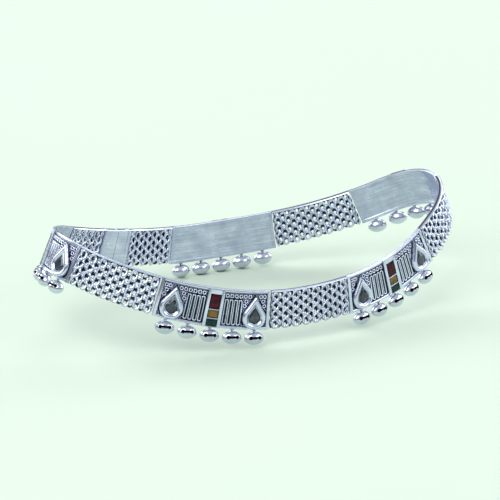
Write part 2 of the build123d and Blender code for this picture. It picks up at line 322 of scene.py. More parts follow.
# --- Node trees ---
class Nodes:
    """A node tree in the making."""

    def __init__(self, tree):
        self.tree = tree

    def fill(self, socket, value):
        """Gives an input a value of its own or another node's output."""
        if isinstance(value, bpy.types.NodeSocket):
            self.tree.links.new(value, socket)
        else:
            socket.default_value = value

    def add(self, kind, wires=None, **settings):
        """Adds a node; wires says what fills each input, by name or number."""
        node = self.tree.nodes.new(kind)
        for setting, value in settings.items():
            setattr(node, setting, value)
        for socket, value in (wires or {}).items():
            self.fill(node.inputs[socket], value)
        return node

    def shader(self, kind, wires=None, **settings):
        """The first output of a new shader node."""
        return self.add("ShaderNode" + kind, wires, **settings).outputs[0]

    def math(self, operation, first, second=0.0):
        return self.shader("Math", {0: first, 1: second}, operation=operation)

    plus = partialmethod(math, "ADD")
    minus = partialmethod(math, "SUBTRACT")
    times = partialmethod(math, "MULTIPLY")
    over = partialmethod(math, "DIVIDE")
    whole = partialmethod(math, "FLOOR")
    left_over = partialmethod(math, "FLOORED_MODULO")
    sign = partialmethod(math, "SIGN")

    def vector_math(self, operation, *vectors):
        return self.shader("VectorMath", dict(enumerate(vectors)), operation=operation)

    sum = partialmethod(vector_math, "ADD")
    product = partialmethod(vector_math, "MULTIPLY")
    unit = partialmethod(vector_math, "NORMALIZE")

    def vector(self, x=0.0, y=0.0, z=0.0):
        return self.shader("CombineXYZ", {0: x, 1: y, 2: z})

    def parts(self, vector):
        return self.add("ShaderNodeSeparateXYZ", {0: vector}).outputs

    def scaled(self, vector, amount):
        return self.shader("VectorMath", {"Vector": vector, "Scale": amount}, operation="SCALE")

    def ramp(self, value, low, high, start=0.0, end=1.0):
        """Turns low to high into start to end, and holds beyond."""
        wires = {"Value": value, "From Min": low, "From Max": high, "To Min": start, "To Max": end}
        return self.shader("MapRange", wires, clamp=True)

    def blend(self, share, first, second):
        """A colour between two others."""
        node = self.add("ShaderNodeMix", {"Factor": share}, data_type="RGBA")
        for socket, value in ((6, first), (7, second)):
            self.fill(node.inputs[socket], (*value, 1.0) if isinstance(value, tuple) else value)
        return node.outputs[2]

    def object_place(self):
        return self.add("ShaderNodeTexCoord").outputs["Object"]

    def kept_place(self, name):
        """A place that a geometry tree stored, read in a material."""
        return self.add("ShaderNodeAttribute", attribute_name=name).outputs["Vector"]

    def noise(self, place, scale, detail, **more):
        return self.shader("TexNoise", {"Vector": place, "Scale": scale, "Detail": detail, **more})


def sockets(kind, *names):
    return [(name, kind) for name in names]


class Tree(Nodes):
    """A node group with named inputs and one output."""

    def __init__(self, name, inputs, output=("Geometry", "Geometry"), kind="GeometryNodeTree"):
        super().__init__(bpy.data.node_groups.new(name, kind))
        for way, named in (("INPUT", inputs), ("OUTPUT", [output])):
            for label, socket in named:
                self.tree.interface.new_socket(name=label, in_out=way, socket_type="NodeSocket" + socket)
        self.given = self.tree.nodes.new("NodeGroupInput").outputs

    def __getitem__(self, name):
        return self.given[name]

    def finish(self, result):
        self.add("NodeGroupOutput", {0: result})
        return self.tree

    def geo(self, kind, wires=None, **settings):
        """The first output of a new geometry node."""
        return self.add("GeometryNode" + kind, wires, **settings).outputs[0]

    def position(self):
        return self.geo("InputPosition")

    def stored(self, name, data_type="FLOAT_VECTOR"):
        return self.add("GeometryNodeInputNamedAttribute", {"Name": name}, data_type=data_type).outputs["Attribute"]

    def store(self, geometry, name, value, data_type="FLOAT_VECTOR"):
        wires = {"Geometry": geometry, "Name": name, "Value": value}
        return self.geo("StoreNamedAttribute", wires, data_type=data_type, domain="POINT")

    def circle(self, radius, steps):
        return self.geo("CurvePrimitiveCircle", {"Radius": radius, "Resolution": steps})

    def wire(self, curve, radius, sides):
        return self.geo("CurveToMesh", {0: curve, 1: self.circle(radius, sides)})

    def stretched(self, geometry, x=1.0, y=1.0, z=1.0):
        return self.geo("Transform", {"Geometry": geometry, "Scale": self.vector(x, y, z)})

    def smooth(self, mesh):
        return self.geo("SetShadeSmooth", {0: mesh})

    def on_points(self, points, instance, **wires):
        return self.geo("InstanceOnPoints", {"Points": points, "Instance": instance, **wires})

    def on_guide(self, along):
        """The loop's point, up and out directions at a length along it."""
        share = self.math("FRACT", self.over(along, self["Perimeter"]))
        guide = self.add("GeometryNodeObjectInfo", {"Object": self["Guide"]}).outputs["Geometry"]
        curve = self.geo("MeshToCurve", {0: guide})
        found = []
        for name in ("band_up", "band_out"):
            wires = {"Curves": curve, "Value": self.stored(name), "Factor": share}
            sample = self.add("GeometryNodeSampleCurve", wires, mode="FACTOR", data_type="FLOAT_VECTOR").outputs
            found.append(sample["Value"])
        return sample["Position"], *found

    def off_middle(self, middle, up_way, out_way, up, out):
        """A place some way up and out from the band's middle."""
        return self.sum(middle, self.sum(self.scaled(up_way, up), self.scaled(out_way, out)))

    def laid_on_band(self, geometry):
        """Bends flat geometry onto the loop and keeps its flat place for the materials."""
        kept = self.store(geometry, "band_place", self.position())
        flat = self.parts(self.position())
        place = self.off_middle(*self.on_guide(flat[0]), flat[1], flat[2])
        return self.geo("SetPosition", {"Geometry": kept, "Position": place})

    def closed(self, geometry):
        """The ending that every geometry tree has: real meshes with their material."""
        real = self.geo("RealizeInstances", {0: geometry})
        return self.finish(self.geo("SetMaterial", {"Geometry": real, "Material": self["Material"]}))


# --- Geometry trees ---
SOLID = [("Geometry", "Geometry"), ("Material", "Material")]
ON_BAND = [("Guide", "Object"), ("Perimeter", "Float")]


def band_piece_tree():
    """Lays a flat piece on the band about a centre along it."""
    tree = Tree("band_piece", SOLID + sockets("Float", "Centre") + ON_BAND)
    wires = {"Geometry": tree["Geometry"], "Translation": tree.vector(tree["Centre"])}
    return tree.closed(tree.laid_on_band(tree.geo("Transform", wires)))


def raised_wire_tree():
    """Round or long wire loops, one standing on each point of a flat panel."""
    sizes = sockets("Float", "Radius", "Straight", "Tall", "Wire Radius") + sockets("Int", "Turns", "Sides")
    tree = Tree("raised_wires", SOLID + sizes)
    rounded_place = tree.math("SNAP", tree.parts(tree.position())[1], tree.times(tree["Radius"], LEVEL_SHARE))
    shift = tree.times(tree.sign(rounded_place), tree.over(tree["Straight"], 2.0))
    wires = {"Geometry": tree.circle(tree["Radius"], tree["Turns"]), "Offset": tree.vector(y=shift)}
    long_loop = tree.geo("SetPosition", wires)
    wire = tree.stretched(tree.wire(long_loop, tree["Wire Radius"], tree["Sides"]), z=tree["Tall"])
    return tree.closed(tree.on_points(tree["Geometry"], tree.smooth(wire)))


def grain_tree():
    """Small solder grains, one on each point of a flat panel's ground."""
    tree = Tree("granulation", SOLID + sockets("Float", "Radius") + sockets("Int", "Sides", "Rings"))
    wires = {"Segments": tree["Sides"], "Rings": tree["Rings"], "Radius": tree["Radius"]}
    return tree.closed(tree.on_points(tree["Geometry"], tree.smooth(tree.geo("MeshUVSphere", wires))))


def woven_mesh_tree():
    """Two layers of oval wire links in rows, each link waving over and under its four neighbours.

    Every second row is half a link along, with a half link at each end.
    """
    sizes = sockets("Int", "Columns", "Rows", "Seed") + sockets("Float", "Start", "Pitch", "Row Pitch", "Up", "Out")
    sizes += sockets("Float", "Layer Gap", "Across", "Tall", "Wire", "Flatness", "Wave")
    tree = Tree("woven_mesh", SOLID + sizes + ON_BAND)
    places = tree.plus(tree["Columns"], 1.0)
    in_layer = tree.times(places, tree["Rows"])
    index = tree.geo("InputIndex")
    layer = tree.whole(tree.over(tree.plus(index, 0.5), in_layer))
    index = tree.left_over(index, in_layer)
    column = tree.left_over(index, places)
    row = tree.whole(tree.over(tree.plus(index, 0.5), places))
    odd = tree.left_over(tree.plus(row, layer), 2.0)
    even = tree.minus(1.0, odd)
    past_first = tree.sign(column)
    before_last = tree.sign(tree.minus(tree["Columns"], column))
    half_link = tree.times(odd, tree.minus(1.0, tree.times(past_first, before_last)))
    shown = tree.plus(odd, tree.times(even, before_last))

    inward = tree.minus(0.25, tree.times(past_first, 0.5))
    step = tree.plus(tree.plus(column, tree.times(even, 0.5)), tree.times(half_link, inward))
    along = tree.plus(tree["Start"], tree.times(step, tree["Pitch"]))
    middle_row = tree.over(tree.minus(tree["Rows"], 1.0), 2.0)
    up = tree.times(tree.minus(row, middle_row), tree["Row Pitch"])
    out = tree.times(tree.minus(0.5, layer), tree["Layer Gap"])
    place = tree.sum(tree.vector(along, up, out), tree.vector(0.0, tree["Up"], tree["Out"]))
    points = tree.geo("Points", {"Count": tree.times(in_layer, 2.0), "Position": place})
    points = tree.store(points, "wave_side", tree.minus(tree.times(odd, 2.0), 1.0), "FLOAT")

    oval = tree.stretched(tree.circle(1.0, LINK_TURNS), tree["Across"], tree["Tall"])
    link = tree.stretched(tree.wire(oval, tree["Wire"], LINK_SIDES), z=tree["Flatness"])
    link = tree.store(link, "link_place", tree.position())
    wires = {"Min": tuple(-turn for turn in LINK_LOOSE), "Max": LINK_LOOSE, "Seed": tree["Seed"]}
    loose = tree.add("FunctionNodeRandomValue", wires, data_type="FLOAT_VECTOR").outputs[0]
    turn = tree.add("FunctionNodeEulerToRotation", {0: loose}).outputs[0]
    narrow = tree.vector(tree.minus(1.0, tree.times(half_link, 0.5)), 1.0, 1.0)
    placed = tree.on_points(points, link, Selection=shown, Rotation=turn, Scale=narrow)

    on_link = tree.parts(tree.stored("link_place"))
    corner = tree.times(tree.over(on_link[0], tree["Across"]), tree.over(on_link[1], tree["Tall"]))
    wave = tree.times(tree.times(corner, tree.stored("wave_side", "FLOAT")), tree.times(tree["Wave"], 2.0))
    links = tree.geo("RealizeInstances", {0: placed})
    waved = tree.geo("SetPosition", {"Geometry": links, "Offset": tree.vector(z=wave)})
    joined = tree.add("GeometryNodeJoinGeometry", {0: tree.smooth(waved)})
    tree.fill(joined.inputs[0], tree["Geometry"])
    return tree.closed(tree.laid_on_band(joined.outputs[0]))


def hung_bells_tree():
    """Copies of one bell, each hanging from its eye part of the way to plumb."""
    sizes = sockets("Float", "First", "Pitch", "Eye Up", "Eye Out", "Drop", "Plumb") + sockets("Int", "Count")
    tree = Tree("hung_bells", SOLID + sizes + ON_BAND)
    along = tree.plus(tree["First"], tree.times(tree.geo("InputIndex"), tree["Pitch"]))
    middle, up_way, out_way = tree.on_guide(along)
    tipped = tree.times(tree.parts(out_way)[2], -1.0)
    plumb = tree.unit(tree.sum(tree.vector(z=1.0), tree.scaled(out_way, tipped)))
    square = tree.scaled(up_way, tree.minus(1.0, tree["Plumb"]))
    hang = tree.unit(tree.sum(square, tree.scaled(plumb, tree["Plumb"])))
    eye = tree.off_middle(middle, up_way, out_way, tree["Eye Up"], tree["Eye Out"])
    lowered = tree.scaled(hang, tree.times(tree["Drop"], -1.0))
    points = tree.geo("Points", {"Count": tree["Count"], "Position": tree.sum(eye, lowered)})
    axes = {"primary_axis": "Z", "secondary_axis": "Y"}
    turn = tree.add("FunctionNodeAxesToRotation", {0: out_way, 1: hang}, **axes).outputs[0]
    bell_shape = tree.store(tree["Geometry"], "bell_place", tree.position())
    return tree.closed(tree.on_points(points, bell_shape, Rotation=turn))


def as_label(name):
    return name.replace("_", " ").title()


def from_tree(name, tree, mesh, **values):
    """Runs a tree on a mesh, with values for its named inputs, and returns a plain mesh."""
    thing = link_to_scene(name, mesh)
    modifier = thing.modifiers.new(name, "NODES")
    modifier.node_group = tree
    keys = {item.name: item.identifier for item in tree.interface.items_tree if item.in_out == "INPUT"}
    for label, value in values.items():
        modifier[keys[as_label(label)]] = value
    made = baked(thing)
    made.name = name
    return made


def baked(thing):
    """The plain mesh that an object's modifiers give.  The object is removed."""
    bpy.context.view_layer.update()
    evaluated = thing.evaluated_get(bpy.context.evaluated_depsgraph_get())
    made = bpy.data.meshes.new_from_object(evaluated)
    bpy.data.objects.remove(thing)
    return made


# --- Flat shapes ---
def plain_mesh(name, bm):
    mesh = bpy.data.meshes.new(name)
    bm.to_mesh(mesh)
    bm.free()
    return mesh


def softened(mesh, sharp):
    """Shades a mesh smooth but for its sharp edges."""
    mesh.shade_smooth()
    mesh.set_sharp_from_angle(angle=radians(sharp))
    return mesh


def turned_out(bm):
    """Turns a shape's faces outwards."""
    bmesh.ops.recalc_face_normals(bm, faces=bm.faces)
    return bm


def solid(name, bm, sharp=40.0):
    return softened(plain_mesh(name, turned_out(bm)), sharp)


def rounded(corners):
    """A closed outline whose corners, given as up, out and radius, are turned into arcs."""
    places = [Vector((0, up, out)) for up, out, _ in corners]
    outline = []
    for i, (_, _, radius) in enumerate(corners):
        into = (places[i - 1] - places[i]).normalized()
        away = (places[(i + 1) % len(places)] - places[i]).normalized()
        half_angle = into.angle(away) / 2
        centre = places[i] + (into + away).normalized() * (radius / sin(half_angle))
        start, end = ((places[i] + way * (radius / tan(half_angle)) - centre).normalized() for way in (into, away))
        outline += [centre + start.slerp(end, step / CORNER_STEPS) * radius for step in range(CORNER_STEPS + 1)]
    return outline


def bridge(bm, rows, first=0):
    """Faces between rows of vertices, which are closed unless first is 1."""
    for low, high in zip(rows, rows[1:]):
        for i in range(first, len(low)):
            bm.faces.new((low[i - 1], low[i], high[i], high[i - 1]))


def join_rings(bm, rings, capped=True):
    """Faces between rings of points, with the two ends filled."""
    rows = [[bm.verts.new(point) for point in ring] for ring in rings]
    bridge(bm, rows)
    if capped:
        bm.faces.new(rows[0])
        bm.faces.new(rows[-1])
    return rows


def ringed(name, rings):
    bm = bmesh.new()
    join_rings(bm, rings)
    return solid(name, bm)


def whole_turn(sides):
    """The angles of a round thing's sides."""
    return [2 * pi * i / sides for i in range(sides)]


def soft_block(bm, low, high, edge):
    """A block between two opposite corners, with rounded edges."""
    low, high = Vector(map(min, low, high)), Vector(map(max, low, high))
    place = Matrix.LocRotScale((low + high) / 2, None, high - low)
    made = bmesh.ops.create_cube(bm, size=1.0, matrix=place)["verts"]
    edges = list(dict.fromkeys(around for vert in made for around in vert.link_edges))
    bmesh.ops.bevel(bm, geom=edges, offset=edge, segments=BAR_EDGE_STEPS, profile=0.5, affect="EDGES")


def pear_outline(radius, out, arc_steps, side_steps, x):
    """Points round a pear shape with its tip up, x along the band."""
    tip_angle = asin(1 / PEAR_POINT)
    points = []
    for i in range(arc_steps + 1):
        turn = pi - tip_angle + (pi + 2 * tip_angle) * i / arc_steps
        points.append(Vector((radius * cos(turn), radius * sin(turn), out)))
    tip = Vector((0, radius * PEAR_POINT, out))
    right, left = points[-1], points[0]
    points += [right.lerp(tip, i / side_steps) for i in range(1, side_steps + 1)]
    points += [tip.lerp(left, i / side_steps) for i in range(1, side_steps)]
    return [point + Vector((x, PEAR_UP, 0)) for point in points]


def bezel_profile():
    """Radius and height of each ring of the setting: foot, dome, groove, lip over the stone, pocket."""
    crest, half_width = (BEZEL_RADIUS + DOME_INNER) / 2, (BEZEL_RADIUS - DOME_INNER) / 2
    rise = BEZEL_FRONT - DOME_SHOULDER
    dome = [radians(DOME_SWEEP) * i / DOME_STEPS for i in range(DOME_STEPS + 1)]
    profile = [(BEZEL_RADIUS, ROOT)]
    profile += [(crest + half_width * cos(turn), DOME_SHOULDER + rise * sin(turn)) for turn in dome]
    outer, low = LIP_INNER + LIP_WIDTH, LIP_OUT - LIP_EDGE
    profile += [(outer + LIP_EDGE, GROOVE_OUT), (outer, low), (outer - LIP_WIDTH / 2, LIP_OUT), (LIP_INNER, low)]
    profile += [(LIP_INNER, low - LIP_EDGE), (STONE_RADIUS + FIT, LIP_UNDERSIDE)]
    return profile + [(STONE_RADIUS + FIT, STONE_SEAT)]


def in_pear(x, up, radius):
    """True inside a pear outline about the centre of its round end."""
    slope = tan(asin(1 / PEAR_POINT))
    in_point = radius / PEAR_POINT < up < radius * PEAR_POINT and abs(x) < (radius * PEAR_POINT - up) * slope
    return x ** 2 + up ** 2 < radius ** 2 or in_point


def grain_spots(rings):
    """Places for grains where the raised work leaves the ground free, on a panel's right half."""
    spots = []
    low_x, high_x = COLUMN_WIDTH / 2 + GRAIN_RADIUS, PANEL_LENGTH / 2 - END_BAR_WIDTH - GRAIN_RADIUS
    high_up = BAND_HEIGHT / 2 - RAIL_HEIGHT - GRAIN_RADIUS
    loops_start = LOOP_FIRST - LOOP_WIDE / 2 - GRAIN_RADIUS
    loops_end = LOOP_FIRST + LOOP_PITCH * (LOOP_COUNT - 1) + LOOP_WIDE / 2 + GRAIN_RADIUS
    ring_reach = RING_WIDE / 2 + GRAIN_RADIUS / 2
    rows = int(2 * high_up / (GRAIN_PITCH * sin(pi / 3)))
    for row in range(rows + 1):
        up = -high_up + 2 * high_up * row / rows
        for column in range(ceil((high_x - low_x) / GRAIN_PITCH)):
            x = low_x + (column + row % 2 / 2) * GRAIN_PITCH
            taken = loops_start < x < loops_end and abs(up - LOOP_UP) < LOOP_TALL / 2 + GRAIN_RADIUS
            taken = taken or any((x - away) ** 2 + (up - high) ** 2 < ring_reach ** 2 for away, high in rings)
            taken = taken or in_pear(x - PEAR_OFFSET, up - PEAR_UP, BEZEL_RADIUS + GRAIN_RADIUS)
            if x < high_x and not taken:
                spots.append((x, up))
    return spots


def frame_and_bars():
    """The enamel's frame with its seat, cut to bend with the band, and the panel's end bars."""
    bm = bmesh.new()
    end, frame_top = PANEL_LENGTH / 2 - FIT, BAND_HEIGHT / 2 - FIT
    frame_half, tile_half = COLUMN_WIDTH / 2, TILE_WIDTH / 2 + FIT
    bar_half = frame_half - 3 * FIT
    bars = [edge for _, upper, tall in TILES for edge in (upper + FIT, upper - tall - FIT)]
    bars = [frame_top, *bars, -frame_top]
    for upper, lower in zip(bars[::2], bars[1::2]):
        soft_block(bm, (-bar_half, lower, ROOT), (bar_half, upper, COLUMN_FRONT - FIT), BAR_EDGE)
    for side in (-1, 1):
        inner, outer = side * tile_half, side * frame_half
        soft_block(bm, (inner, -frame_top, ROOT), (outer, frame_top, COLUMN_FRONT), BAR_EDGE)
        inner, outer = side * (end - END_BAR_WIDTH), side * end
        soft_block(bm, (inner, -frame_top, WEB_BACK + FIT), (outer, frame_top, RAIL_FRONT + FIT), BAR_EDGE)
    soft_block(bm, (-tile_half, -frame_top, ROOT), (tile_half, frame_top, TILE_SEAT), FIT)
    # bevelling leaves gaps that new points would fill in another order each time, so they start afresh
    blocks = plain_mesh("blocks", bm)
    bm = bmesh.new()
    bm.from_mesh(blocks)
    for cut in COLUMN_CUTS:
        shape = bm.verts[:] + bm.edges[:] + bm.faces[:]
        bmesh.ops.bisect_plane(bm, geom=shape, plane_co=(cut * MM, 0, 0), plane_no=(1, 0, 0))
    return bm


def web_and_rails(bm):
    """The panel's sheet with its two rails, in steps short enough to bend."""
    top = BAND_HEIGHT / 2
    rail_foot, sunk = top - RAIL_HEIGHT, WEB_BACK + BACK_EDGE
    front = [(top, WEB_BACK, BACK_EDGE), (top, RAIL_FRONT, RAIL_ROUND)]
    front += [(rail_foot, RAIL_FRONT, RAIL_ROUND), (rail_foot, 0.0, FIT)]
    back = [(rail_foot - BACK_EDGE, sunk, FIT), (rail_foot, WEB_BACK, FIT)]
    outline = rounded(front + [(-up, out, radius) for up, out, radius in reversed(back + front)] + back)
    steps = round(PANEL_LENGTH / MM)
    stations = [-PANEL_LENGTH / 2 + PANEL_LENGTH * i / steps for i in range(steps + 1)]
    join_rings(bm, [[point + Vector((x, 0, 0)) for point in outline] for x in stations])


def add_to(bm, name, tree, spots, **values):
    """Adds what a tree puts on each of some points."""
    points = bpy.data.meshes.new(name)
    points.from_pydata(spots, [], [])
    bm.from_mesh(from_tree(name, trees[tree], points, material=panel_silver, **values))


def flat_panel():
    """One panel laid flat."""
    bm = frame_and_bars()
    web_and_rails(bm)
    for side in (-1, 1):
        x = side * PEAR_OFFSET
        join_rings(bm, [pear_outline(*ring, PEAR_ARC_STEPS, PEAR_SIDE_STEPS, x) for ring in bezel_profile()])
    whole = bmesh.new()
    whole.from_mesh(solid("panel_body", bm))

    offsets = [LOOP_FIRST + LOOP_PITCH * i for i in range(LOOP_COUNT)]
    rings = [(offset, RING_UP) for offset in offsets + list(PEAR_SIDE_RINGS)] + SHOULDER_RINGS
    loop_spots = [(side * offset, LOOP_UP, WIRE_OUT) for side in (-1, 1) for offset in offsets]
    ring_spots = [(side * offset, up, WIRE_OUT) for side in (-1, 1) for offset, up in rings]
    eye_spots = [(offset, -BAND_HEIGHT / 2 - EYE_DROP, BELL_OUT) for offset in BELL_OFFSETS]
    raised = [
        ("tall_loops", loop_spots, LOOP_WIDE / 2 - LOOP_WIRE, LOOP_TALL - LOOP_WIDE, LOOP_WIRE, WIRE_TALL),
        ("small_rings", ring_spots, RING_WIDE / 2 - RING_WIRE, 0.0, RING_WIRE, WIRE_TALL),
        ("eyelets", eye_spots, EYE_RADIUS, 0.0, WIRE_RADIUS, 1.0),
    ]
    for name, spots, radius, straight, wire, tall in raised:
        add_to(whole, name, "wires", spots, radius=radius, straight=straight, tall=tall, wire_radius=wire,
               turns=WIRE_TURNS, sides=WIRE_SIDES)
    spots = [(side * x, up, 0.0) for side in (-1, 1) for x, up in grain_spots(rings)]
    add_to(whole, "grains", "grains", spots, radius=GRAIN_RADIUS, sides=GRAIN_SIDES, rings=GRAIN_RINGS)
    return plain_mesh("flat_panel", whole)


def bell_profile(inset):
    """Points along and out from the bell's axis: a wide crown arc between two end arcs."""
    end_x = BELL_LENGTH / 2 - BELL_END_RADIUS
    step = BELL_HEIGHT / 2 - BELL_END_RADIUS
    depth = (end_x ** 2 - step ** 2) / (2 * step)
    crown_radius = BELL_HEIGHT / 2 + depth - inset
    end_radius = BELL_END_RADIUS - inset
    turn = atan2(depth, end_x)
    ends = [turn * i / BELL_END_STEPS for i in range(BELL_END_STEPS)]
    crown = [turn + (pi - 2 * turn) * i / BELL_CROWN_STEPS for i in range(BELL_CROWN_STEPS + 1)]
    right = [(end_x + end_radius * cos(angle), end_radius * sin(angle)) for angle in ends]
    middle = [(crown_radius * cos(angle), crown_radius * sin(angle) - depth) for angle in crown]
    return right + middle + [(-x, out) for x, out in reversed(right)]


def bell_wall(inset):
    """A closed shell turned round the bell's axis."""
    bm = bmesh.new()
    (first, _), *between, (last, _) = bell_profile(inset)
    rings = [[(x, out * cos(turn), out * sin(turn)) for turn in whole_turn(BELL_SIDES)] for x, out in between]
    rings = join_rings(bm, rings, capped=False)
    for ring, x, order in ((rings[0], first, 1), (rings[-1], last, -1)):
        pole = bm.verts.new((x, 0, 0))
        for i in range(BELL_SIDES):
            bm.faces.new((ring[i], ring[i - 1], pole)[::order])
    return turned_out(bm)


def slit_cutter():
    """A slot with a round hole at each end, out of the bell's front and a little up."""
    swing = asin(SLIT_HEIGHT / 2 / SLIT_END_RADIUS)
    outline = []
    for side, first in ((1, pi + swing), (-1, swing)):
        turns = [first + (2 * pi - 2 * swing) * i / SLIT_STEPS for i in range(SLIT_STEPS + 1)]
        outline += [(side * SLIT_LENGTH / 2 + SLIT_END_RADIUS * cos(t), SLIT_END_RADIUS * sin(t)) for t in turns]
    raised = Matrix.Rotation(radians(-SLIT_TURN), 3, "X")
    return ringed("slit", [[raised @ Vector((x, y, out)) for x, y in outline] for out in (0.0, BELL_HEIGHT)])


def bail(bm):
    """The wire ring on a bell's crown, square to the band."""
    place = Matrix.Translation((0, BELL_HEIGHT / 2 + BAIL_SINK, 0)) @ Matrix.Rotation(pi / 2, 4, "Y")
    rings = []
    for turn in whole_turn(BAIL_TURNS) + [0.0]:
        centre = Vector((cos(turn), sin(turn), 0))
        rings.append([place @ (centre * (BAIL_RADIUS + WIRE_RADIUS * cos(a)) + Vector((0, 0, WIRE_RADIUS * sin(a))))
                      for a in whole_turn(WIRE_SIDES)])
    join_rings(bm, rings, capped=False)
    bmesh.ops.remove_doubles(bm, verts=bm.verts, dist=WIRE_RADIUS / 1000)
    return turned_out(bm)


def bell():
    """A hollow oval bell with a slit to the front and a wire bail on its crown."""
    outer = plain_mesh("bell_outside", bell_wall(0.0))
    walls = bell_wall(BELL_WALL)
    bmesh.ops.reverse_faces(walls, faces=walls.faces)
    walls.from_mesh(outer)
    thing = link_to_scene("bell_walls", plain_mesh("bell_walls", walls))
    cutter = link_to_scene("slit", slit_cutter())
    cut = thing.modifiers.new("slit", "BOOLEAN")
    cut.operation, cut.solver, cut.object = "DIFFERENCE", "EXACT", cutter
    soft = thing.modifiers.new("slit_edge", "BEVEL")
    soft.width, soft.segments, soft.angle_limit = SLIT_SOFTENED, 2, radians(BELL_SHARP)
    slit_bell = baked(thing)
    bpy.data.objects.remove(cutter)
    whole = bail(bmesh.new())
    whole.from_mesh(slit_bell)
    return softened(plain_mesh("bell", whole), BELL_SHARP)


def cut_stone(bm, x):
    """A pear-cut stone, with star, kite and girdle facets round a flat table."""
    def ring(share, out, shift=0, step=6):
        around = pear_outline(STONE_RADIUS * share, STONE_SEAT + out, 4 * STONE_FACETS, STONE_FACETS, x)
        tip = 5 * STONE_FACETS
        return [bm.verts.new(around[(tip + shift + i) % len(around)]) for i in range(0, len(around), step)]

    back, waist = ring(STONE_BACK, FIT, step=3), ring(1.0, STONE_WAIST, step=3)
    girdle, middle = ring(1.0, STONE_GIRDLE, step=3), ring(*STONE_SHOULDER, shift=3)
    table = ring(STONE_TABLE, STONE_RISE)
    bm.faces.new(back)
    bm.faces.new(table)
    bridge(bm, (back, waist, girdle))
    for i in range(STONE_FACETS):
        after = (i + 1) % STONE_FACETS
        corner, between = girdle[2 * i], girdle[2 * i + 1]
        bm.faces.new((table[i], middle[i], table[after]))
        bm.faces.new((table[i], middle[i - 1], corner, middle[i]))
        bm.faces.new((corner, between, middle[i]))
        bm.faces.new((between, girdle[2 * after], middle[i]))


def enamel_pillow(centres, top, tall):
    """Domed enamel tiles, one for each panel centre, in flat band places."""
    bm = bmesh.new()
    base, rise = TILE_SEAT + FIT, TILE_FRONT - TILE_SEAT - FIT
    steps = [2 * i / PILLOW_STEPS - 1 for i in range(PILLOW_STEPS + 1)]
    steps = [copysign(abs(step) ** PILLOW_CROWDING, step) for step in steps]
    for centre in centres:
        rows = []
        for v in steps:
            row = []
            for u in steps:
                edge = max(1 - u ** PILLOW_CORNER, 0) * max(1 - v ** PILLOW_CORNER, 0)
                out = base + rise * sqrt(edge) * (1 - PILLOW_DOME * (u ** 2 + v ** 2) / 2)
                row.append(bm.verts.new((centre + u * TILE_WIDTH / 2, top - tall / 2 + v * tall / 2, out)))
            rows.append(row)
        bridge(bm, rows, first=1)
        rim = rows[0][:-1] + [row[-1] for row in rows[:-1]] + rows[-1][:0:-1] + [row[0] for row in rows[:0:-1]]
        bm.faces.new(rim)
    return solid("enamel", bm, PILLOW_SHARP)


def flat_clasp():
    """The box clasp laid flat: ribs at both ends, and a seam where its tongue goes in."""
    top = BAND_HEIGHT / 2
    outline = rounded([(up, out, CLASP_EDGE) for up, out in (
        (top, CLASP_BACK), (top, CLASP_FRONT), (-top, CLASP_FRONT), (-top, CLASP_BACK))])
    middle, reach = Vector((0, 0, (CLASP_BACK + CLASP_FRONT) / 2)), (CLASP_FRONT - CLASP_BACK) / 2
    rings = []
    for share, inset in [(-share, inset) for share, inset in reversed(CLASP_RIBS)] + CLASP_SEAM + CLASP_RIBS:
        drawn_in = Matrix.Diagonal((0.0, 1 - inset / top, 1 - inset / reach))
        along = Vector((share * CLASP_LENGTH / 2, 0, 0))
        rings.append([middle + along + drawn_in @ (point - middle) for point in outline])
    return ringed("flat_clasp", rings)


def capping_strip(start, end):
    """The smooth strip along the head of a woven mesh, laid flat."""
    steps = ceil((end - start) / MM)
    up = BAND_HEIGHT / 2 - STRIP_TALL
    rings = []
    for i in range(steps + 1):
        x = start + (end - start) * i / steps
        rings.append([Vector((x, up + STRIP_TALL * sin(t), LINKS_OUT + STRIP_DEEP * cos(t)))
                      for t in whole_turn(STRIP_SIDES)])
    return ringed("capping_strip", rings)


# --- Finishes ---
def mask_tree(name, output, *inputs):
    return Tree(name, sockets("Float", *inputs), (output, "Float"), "ShaderNodeTree")


def tarnish_group():
    """Cloudy patches where silver has dulled."""
    tree = mask_tree("tarnish", "Mask", "Size", "Amount")
    cloud = tree.noise(tree.object_place(), tree["Size"], detail=5.0, Roughness=0.65)
    return tree.finish(tree.times(tree.ramp(cloud, low=0.42, high=0.72), tree["Amount"]))


def crevice_oxide_and_shade_group():
    """Darkening by ambient occlusion: partly oxidised silver that stays where a cloth can't reach, partly painted
    shade in the crevices.
    """
    tree = mask_tree("crevice", "Mask", "Reach", "Strength")
    open_sky = tree.add("ShaderNodeAmbientOcclusion", {"Distance": tree["Reach"]}, samples=6).outputs["AO"]
    return tree.finish(tree.times(tree.ramp(open_sky, low=0.85, high=0.25), tree["Strength"]))


def recess_oxide_and_shade_group():
    """Painted shade, partly oxidised silver, below a level out from the band's middle, fading up to another."""
    tree = mask_tree("recess", "Mask", "Middle", "Dark Within", "Bright Beyond", "Front Only")
    out = tree.minus(tree.parts(tree.kept_place("band_place"))[2], tree["Middle"])
    behind = tree.times(tree.math("LESS_THAN", out, 0.0), tree["Front Only"])
    dark = tree.ramp(tree.math("ABSOLUTE", out), tree["Dark Within"], tree["Bright Beyond"], start=1.0, end=0.0)
    return tree.finish(tree.times(dark, tree.minus(1.0, behind)))


def scratch_group():
    """Fine polishing lines and a light hammered unevenness, as a height."""
    tree = mask_tree("scratches", "Height", "Lines", "Waves")
    place = tree.object_place()
    stretch, depth = (1.0, 0.25, 6.0), 0.35
    lines = tree.noise(tree.product(place, stretch), tree["Lines"], detail=3.0)
    waves = tree.noise(place, tree["Waves"], detail=1.0)
    return tree.finish(tree.plus(tree.times(lines, depth), waves))


